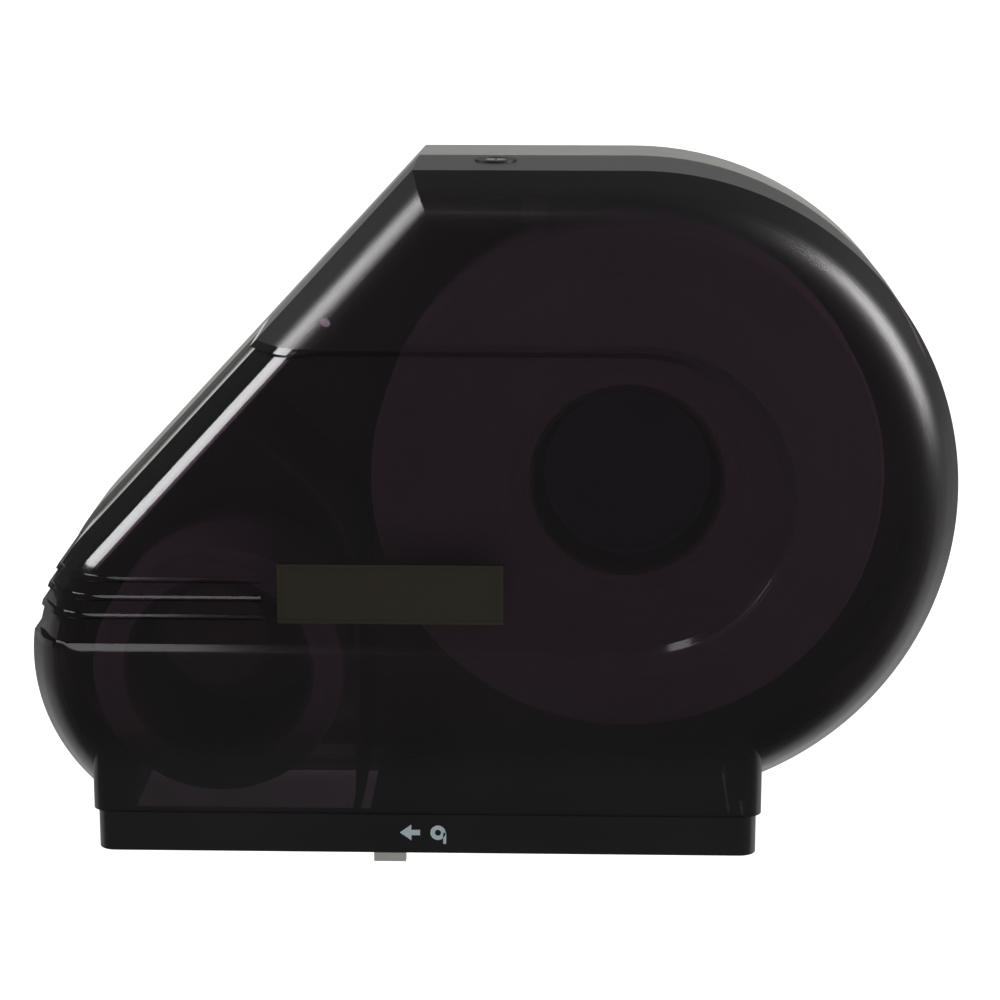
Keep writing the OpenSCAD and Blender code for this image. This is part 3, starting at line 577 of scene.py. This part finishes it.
def foot_block(left, right, bottom, top, back, front, inset):
    """An upright block with two round front corners, inset all round but at its top and bottom."""
    bm = bmesh.new()
    brick(bm, (left + inset, bottom, back), (right - inset, top, front - inset))
    front_corners = [edge for edge in bm.edges
                     if all(corner.co.z > back + 1 for corner in edge.verts)
                     and abs(edge.verts[0].co.x - edge.verts[1].co.x) < 1]
    bmesh.ops.bevel(bm, geom=front_corners, offset=BAND_R - inset, segments=ARC_STEPS, profile=0.5,
                    affect="EDGES", material=-1)
    return new_mesh("foot", bm)


def cover_form(inset, back, bottom):
    """The whole cover as one solid: dome, foot and band. Each form that is joined or cut ends at its
    own depth behind and below, so that no two share a face there."""
    band_top = FOOT_Y + BAND_H
    dome = dome_body(inset, back)
    foot = foot_block(FOOT_LEFT, FOOT_RIGHT, band_top + inset, FOOT_TOP, back, FRONT_Z, inset)
    band = foot_block(FOOT_LEFT + BAND_STEP, FOOT_RIGHT - BAND_STEP, bottom, band_top - inset, back,
                      FRONT_Z + BAND_PROUD, inset)
    parts = [foot, band]
    if inset:
        parts.append(foot_block(FOOT_LEFT + BAND_STEP, FOOT_RIGHT - BAND_STEP, band_top - inset - 1,
                                band_top + inset + 1, back, FRONT_Z, inset))
    return combined(dome, "UNION", *parts)


def round_ended(half_section, left, end, steps):
    """A bar from the left to a round end. Half of its section is given, as (half width, depth)
    points from the middle of its foot to the middle of its top."""
    sides = half_section[1:-1]
    outline = [(-half, z) for half, z in sides[::-1]] + sides
    bm = bmesh.new()
    bm.faces.new([bm.verts.new((left, end.y + half, z)) for half, z in outline])
    grown = bmesh.ops.extrude_face_region(bm, geom=bm.faces[:])["geom"]
    far_end = [part for part in grown if isinstance(part, bmesh.types.BMVert)]
    bmesh.ops.translate(bm, vec=(end.x - left, 0, 0), verts=far_end)
    bmesh.ops.recalc_face_normals(bm, faces=bm.faces)
    bar = new_mesh("bar", bm)
    bm = bmesh.new()
    corners = [bm.verts.new((end.x, end.y - half, z)) for half, z in half_section]
    outline = [bm.edges.new(pair) for pair in zip(corners, corners[1:] + corners[:1])]
    bmesh.ops.spin(bm, geom=corners + outline, cent=end, axis=OUT, angle=2 * pi, steps=steps,
                   use_merge=True)
    bmesh.ops.remove_doubles(bm, verts=bm.verts, dist=1e-3)
    bmesh.ops.recalc_face_normals(bm, faces=bm.faces)
    return combined(bar, "UNION", new_mesh("end", bm))


def window_slot(half, floor):
    """Cutter for the window: a slot with a bevel above its floor."""
    top = FRONT_Z + 2
    wide = half + WINDOW_BEVEL / RECESS * (top - floor)
    section = [(0, 0), (half, 0), (half, floor), (wide, top), (0, top)]
    return round_ended(section, FAR_LEFT, ROUND, WINDOW_STEPS)


RIB_TOP, RIB_PITCH, RIB_W, RIB_OUT, RIB_END, RIB_COUNT = -32.5, 8.7, 2.6, 1.4, -107.0, 3
RIB_BEVEL, RIB_PEAK = 0.8, 0.25


def window_rib(middle):
    """A rib on the window's floor that runs round the left side, with bevelled edges in front."""
    half, front = RIB_W / 2, FRONT_Z - RECESS + RIB_OUT
    ridge = half - WINDOW_BEVEL / RECESS * (RIB_BEVEL + RIB_PEAK)
    section = [(0, SPLIT_Z - 1), (half, SPLIT_Z - 1), (half, front - RIB_BEVEL),
               (ridge, front + RIB_PEAK), (0, front + RIB_PEAK)]
    bar = round_ended(section, FAR_LEFT, Vector((RIB_END - half, middle, 0)), RIB_STEPS)
    return combined(bar, "INTERSECT", cover_form(RECESS - RIB_OUT, SPLIT_Z - 3, FOOT_Y - 3))


def cover_room():
    """The room inside the cover, which follows its outside a wall's thickness deeper."""
    room = cover_form(SHELL_T, SPLIT_Z - 4, FOOT_Y - 4)
    combined(room, "DIFFERENCE", window_slot(WINDOW_R + SHELL_T, FRONT_Z - RECESS - SHELL_T))
    return combined(room, "UNION", cover_form(RECESS + SHELL_T, SPLIT_Z - 5, FOOT_Y - 5))


EAR_T, EAR_R, EAR_ROOT, EAR_FRONT = 3.0, 7.0, 1.5, SPLIT_Z + 25
HINGE = Vector((0, -150.0, 36.0))
EAR_LEFT = FOOT_LEFT + BAND_STEP + SHELL_T
EAR_RIGHT = FOOT_RIGHT - BAND_STEP - SHELL_T


def rod(name, radius, start, axis, length, steps=48):
    """A plain round bar from start along an axis, for cutting bores."""
    bm = bmesh.new()
    turn = Vector((0, 0, 1)).rotation_difference(axis).to_matrix().to_4x4()
    bmesh.ops.create_cone(bm, cap_ends=True, segments=steps, radius1=radius, radius2=radius, depth=length,
                          matrix=Matrix.Translation(Vector(start) + axis * length / 2) @ turn)
    return new_mesh(name, bm)


def block(name, low, high):
    """A plain box between two corners."""
    bm = bmesh.new()
    brick(bm, low, high)
    return new_mesh(name, bm)


def ear(left, joint_left):
    """An ear inside the band that reaches back to the hinge, and the root that joins it."""
    low, high = HINGE.y - EAR_R, HINGE.y + EAR_R
    plate = block("ear", (left, low, HINGE.z), (left + EAR_T, high, EAR_FRONT))
    combined(plate, "UNION", rod("ear_end", EAR_R, (left, HINGE.y, HINGE.z), Vector((1, 0, 0)), EAR_T))
    root = block("root", (joint_left, low, SPLIT_Z + 1), (joint_left + EAR_ROOT, high, EAR_FRONT))
    return combined(plate, "UNION", root)


BADGE_LOW, BADGE_HIGH, BADGE_POCKET = (-100.9, -52.6), (2.3, -24.6), 0.8
LOCK_X, LOCK_Z, LOCK_BORE_R, HINGE_BORE_R = -3.0, 72.0, 8.1, 2.55
cover = cover_form(0, SPLIT_Z - 1, FOOT_Y - 1)
combined(cover, "DIFFERENCE", window_slot(WINDOW_R, FRONT_Z - RECESS))
combined(cover, "UNION", cover_form(RECESS, SPLIT_Z - 2, FOOT_Y - 2))
ribs = [window_rib(RIB_TOP - index * RIB_PITCH) for index in range(RIB_COUNT)]
combined(cover, "UNION", *ribs)
combined(cover, "DIFFERENCE", cover_room())
around_low = Vector((FOOT_LEFT - 90, FOOT_Y - 90, SPLIT_Z - 60))
around_high = Vector((FOOT_RIGHT + 190, TOP_Y + 90, FRONT_Z + 60))
combined(cover, "DIFFERENCE",
         block("behind", around_low, (around_high.x, around_high.y, SPLIT_Z)),
         block("below", around_low, (around_high.x, FOOT_Y, around_high.z)))
combined(cover, "UNION", ear(EAR_LEFT, EAR_LEFT - 1), ear(EAR_RIGHT - EAR_T, EAR_RIGHT - 0.5))
pocket_floor = FRONT_Z - RECESS - BADGE_POCKET
combined(cover, "DIFFERENCE", block("pocket", (*BADGE_LOW, pocket_floor), (*BADGE_HIGH, pocket_floor + 5)),
         rod("lock_bore", LOCK_BORE_R, (LOCK_X, TOP_Y + 5, LOCK_Z), Vector((0, -1, 0)), 20),
         rod("hinge_bore", HINGE_BORE_R, (FOOT_LEFT - 90, HINGE.y, HINGE.z), Vector((1, 0, 0)), 600))
cover.data.transform(FRONT_VIEW)
cover.data.shade_smooth()
cover.data.set_sharp_from_angle(angle=radians(22))

smoked = Finish("smoked_polycarbonate", Specular_IOR_Level=0.76, IOR=1.585)
x, y, z = smoked.axes()
across = (x - ROUND.x * MM).at_least(0.0)
up = z - ROUND.y * MM
from_middle = (across * across + up * up).root() / MM
POLISH_END, POLISH_FADE = WINDOW_R + WINDOW_BEVEL, 0.4
polished = 1 - from_middle.step(POLISH_END - POLISH_FADE, POLISH_END + POLISH_FADE)
grain = smoked.noise(0.45, 2.0, 0.6)
flow = smoked.noise(60.0, 2.0)
hairline = smoked.noise(1.4, 3.0, 0.6, smoked.stretched(1.0, 1.0, 0.12))
smoked.feed("Base Color", smoked.shades(flow, (0.3, (0.0040, 0.0037, 0.0038)),
                                        (0.7, (0.0060, 0.0056, 0.0057))))
smoked.feed("Roughness", 0.30 + 0.06 * grain - polished * (0.26 - 0.03 * hairline))
smoked.relief(grain * (1 - polished), 0.03)
edge_on = smoked.node("ShaderNodeLayerWeight", {}, {"Blend": 0.5}, "Facing")
# Painted shade: the foot and the band let less through, so that they stay dark where shade falls behind the
# open bottom.
in_foot = 1 - (z / MM).step(-130.0, FOOT_TOP)
in_band = 1 - (z / MM).step(FOOT_Y + BAND_H - 1.0, FOOT_Y + BAND_H + 0.5)
painted_shade_at_foot = 0.25 * in_foot + 0.07 * in_band
opaque = 0.62 + 0.04 * flow + painted_shade_at_foot + 0.34 * edge_on
clear = smoked.node("ShaderNodeBsdfTransparent", {}, {"Color": (1.0, 0.82, 0.95, 1)})
gloss = Value(smoked.shader.outputs["BSDF"])
see_through = smoked.node("ShaderNodeMixShader", {}, {0: opaque, 1: clear, 2: gloss})
smoked.tree.links.new(see_through.socket, smoked.tree.nodes["Material Output"].inputs["Surface"])
cover.data.materials.clear()
cover.data.materials.append(smoked.material)
cover.name = "smoked_cover"
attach(cover, "cover")
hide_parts("cover")

# ---- Badge plate -------------------------------------------------------------------------------
# A thin aluminium plate, anodised dark olive, that is glued into a pocket in the window. The
# place is made for an owner's name and is left bare inside its raised border.

badge = Finish("olive_anodised_plate", Metallic=0.2, Specular_IOR_Level=0.4)
brushed = badge.noise(0.35, 4.0, 0.75, badge.stretched(0.04, 1, 1))
badge.feed("Base Color", badge.shades(brushed, (0.3, (0.020, 0.017, 0.011)), (0.7, (0.029, 0.025, 0.017))))
badge.feed("Roughness", 0.28 + 0.12 * brushed)
badge.relief(brushed, 0.01)
badge.dress("badge_plate")

# ---- Printed signs on the band -----------------------------------------------------------------
# Two small signs beside the shutter's tab, pad-printed in pale grey: an arrow for the way that it
# slides, and a roll with its sheet hanging down.

print_grey = Finish("pale_print", Roughness=0.5)
print_grey.feed("Base Color", print_grey.shades(print_grey.noise(0.4, 3.0), (0.3, (0.27, 0.33, 0.36)),
                                                (0.7, (0.36, 0.42, 0.45))))
SIGN_LIFT, SIGN_ROOT = 0.12, 0.3
SIGN_Z = FRONT_Z + BAND_PROUD
ARROW_TIP, ARROW_NECK, ARROW_END = -45.5, -40.2, -36.2
SIGN_Y, ARROW_HALF, SHAFT_HALF = -151.6, 3.9, 1.3
ROLL_X, ROLL_OUT, ROLL_IN = -27.9, 3.5, 1.45
SHEET = (-25.5, -24.1, -157.0)


def print_sign(bm, name):
    """Thickens a flat shape, lays it on the band and gives it the print's finish."""
    flat = bmesh.ops.extrude_face_region(bm, geom=bm.faces[:])["geom"]
    raised = [part for part in flat if isinstance(part, bmesh.types.BMVert)]
    bmesh.ops.translate(bm, vec=(0, 0, SIGN_LIFT + SIGN_ROOT), verts=raised)
    bmesh.ops.translate(bm, vec=(0, 0, SIGN_Z - SIGN_ROOT), verts=bm.verts)
    bmesh.ops.recalc_face_normals(bm, faces=bm.faces)
    bm.transform(FRONT_VIEW)
    sign = new_mesh(name, bm, print_grey)
    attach(sign, "cover")


arrow = bmesh.new()
half = [(ARROW_TIP, 0), (ARROW_NECK, ARROW_HALF), (ARROW_NECK, SHAFT_HALF), (ARROW_END, SHAFT_HALF)]
outline = half + [(x, -y) for x, y in half[:0:-1]]
arrow.faces.new([arrow.verts.new((x, SIGN_Y + y, 0)) for x, y in outline])
print_sign(arrow, "slide_arrow_sign")

roll_sign = bmesh.new()
at_roll = Matrix.Translation((ROLL_X, SIGN_Y, 0))
for radius in (ROLL_OUT, ROLL_IN):
    bmesh.ops.create_circle(roll_sign, segments=40, radius=radius, matrix=at_roll)
bmesh.ops.bridge_loops(roll_sign, edges=roll_sign.edges[:])
print_sign(roll_sign, "roll_sign")
sheet_sign = bmesh.new()
left, right, low = SHEET
corners = [(left, low), (right, low), (right, SIGN_Y), (left, SIGN_Y)]
sheet_sign.faces.new([sheet_sign.verts.new((x, y, 0)) for x, y in corners])
print_sign(sheet_sign, "roll_sheet_sign")

# ---- Lock --------------------------------------------------------------------------------------
# A small cam lock in the cover's top: a black housing held by a steel nut inside, and a plug
# with a slot that turns the cam under the strike.

housing = Finish("black_lock_housing", Specular_IOR_Level=0.5)
cast = housing.noise(0.5, 3.0)
housing.feed("Base Color", housing.shades(cast, (0.3, (0.016, 0.016, 0.017)), (0.7, (0.026, 0.026, 0.027))))
housing.feed("Roughness", 0.36 + 0.14 * cast)
housing.relief(cast, 0.03)
housing.dress("lock_housing")
bright_metal("lock_steel", (0.52, 0.52, 0.53), 0.26).dress("lock_nut", "lock_plug", "lock_cam", "cam_screw")

# ---- Floor -------------------------------------------------------------------------------------
# A wide pale floor well below the dispenser, which hangs in the air as if on its wall. The camera
# sees it white, and the cover's gloss shows a part of it.

FLOOR_Z = -0.45
bm = bmesh.new()
bmesh.ops.create_grid(bm, x_segments=1, y_segments=1, size=1)
bmesh.ops.scale(bm, vec=(14, 7, 1), verts=bm.verts)
bmesh.ops.translate(bm, vec=(0, 6.9, FLOOR_Z), verts=bm.verts)
pale = Finish("pale_floor", Roughness=0.9, Specular_IOR_Level=0.1, Emission_Strength=1.0)
pale.feed("Base Color", pale.shades(pale.noise(180), (0.3, (0.88, 0.88, 0.88)), (0.7, (0.92, 0.92, 0.92))))
x, y, z = pale.axes()
away = (x * x + y * y).root().step(0.2, 1.6)
seen = pale.node("ShaderNodeLightPath", {}, {}, "Is Camera Ray")
shiny = pale.node("ShaderNodeLightPath", {}, {}, "Is Glossy Ray")
aside = (x.absolute() / y.at_least(0.05)).step(0.22, 0.50)
glow = (seen + 0.50 * shiny * (1 - aside)) * (0.45 + 0.55 * away)
pale.feed("Emission Color", pale.node("ShaderNodeCombineColor", {}, {0: glow, 1: glow, 2: glow}))
ground = new_mesh("floor", bm, pale)

# ---- Daylight behind ---------------------------------------------------------------------------
# The camera sees white round the object. The room is dim in front, so that the glossy cover stays
# dark, and bright behind, for the sides that other views show.

world = bpy.data.worlds.new("studio")
bpy.context.scene.world = world
world.use_nodes = True
room = world.node_tree
background = room.nodes["Background"]
rays = add_node(room, "ShaderNodeLightPath", {}, {}, "Is Camera Ray")
seen, glossy = (Value(rays.socket.node.outputs[name]) for name in ("Is Camera Ray", "Is Glossy Ray"))
facing = add_node(room, "ShaderNodeTexCoord", {}, {}, "Generated")
depth = Value(add_node(room, "ShaderNodeSeparateXYZ", {}, {0: facing}).socket.node.outputs["Y"])
soft_level = 0.11 + 0.60 * depth.step(-0.10, 0.70)
shine_level = 0.08 + 0.26 * depth.step(0.86, 0.99)
level = soft_level + glossy * (shine_level - soft_level)
level = level + seen * (1 - level)
tone = add_node(room, "ShaderNodeCombineColor", {}, {0: level, 1: level, 2: level})
room.links.new(tone.socket, background.inputs["Color"])

# ---- Lamps -------------------------------------------------------------------------------------
# Two softboxes, one on each side, draw the highlights along the cover's round edge and down its
# slope, and a strip above draws the lines under the window and on its ribs. A plain lamp in front
# lights the colours, and doesn't show in the gloss.


def softbox(name, aim, direction, distance, size, radiance, spread=100):
    """A lamp that is plain over its face, and keeps its light within an angle as a grid does."""
    lamp = bpy.data.lights.new(name, "AREA")
    lamp.spread = radians(spread)
    kept = 1 - lamp.spread / 2 / tan(lamp.spread / 2)
    lamp.shape, lamp.size, lamp.size_y = "RECTANGLE", size[0], size[1]
    lamp.energy = radiance * 4 * size[0] * size[1] * kept
    holder = bpy.data.objects.new(name, lamp)
    bpy.context.scene.collection.objects.link(holder)
    towards = Vector(direction).normalized()
    turn = towards.to_track_quat("Z", "Y").to_matrix().to_4x4()
    holder.matrix_world = Matrix.Translation(Vector(aim) + towards * distance) @ turn
    return holder


softbox("right_softbox", (0.174, -0.128, 0.081), (0.905, -0.09, 0.42), 1.5, (0.72, 1.15), 9.5)
softbox("left_softbox", (-0.090, -0.125, 0.060), (-0.85, -0.08, 0.52), 1.5, (0.82, 0.70), 8.0)
softbox("top_strip", (-0.060, -0.130, 0.0), (-0.32, -0.42, 0.85), 1.5, (0.85, 0.16), 1.6)
front = softbox("front_softbox", (0, -0.1, -0.02), (0.15, -0.98, -0.05), 1.8, (1.4, 1.2), 4.0)
front.visible_glossy = False

# ---- Camera ------------------------------------------------------------------------------------
# A long lens a little above the dispenser and to its right, as in the photograph. It looks at a
# point 110 mm in front of the wall.

TURN, TILT, DISTANCE = radians(1.6), radians(13.4), 1.309
LOOKED_AT = Vector((0, -0.110, 0))
lens = bpy.data.cameras.new("camera")
lens.lens, lens.sensor_width = 102.6, 36
camera = bpy.data.objects.new("camera", lens)
bpy.context.scene.collection.objects.link(camera)
bpy.context.scene.camera = camera
back = Vector((sin(TURN) * cos(TILT), -cos(TURN) * cos(TILT), sin(TILT)))
camera.matrix_world = (Matrix.Translation(LOOKED_AT + back * DISTANCE)
                       @ back.to_track_quat("Z", "Y").to_matrix().to_4x4())
bpy.context.scene.view_settings.view_transform = "Standard"
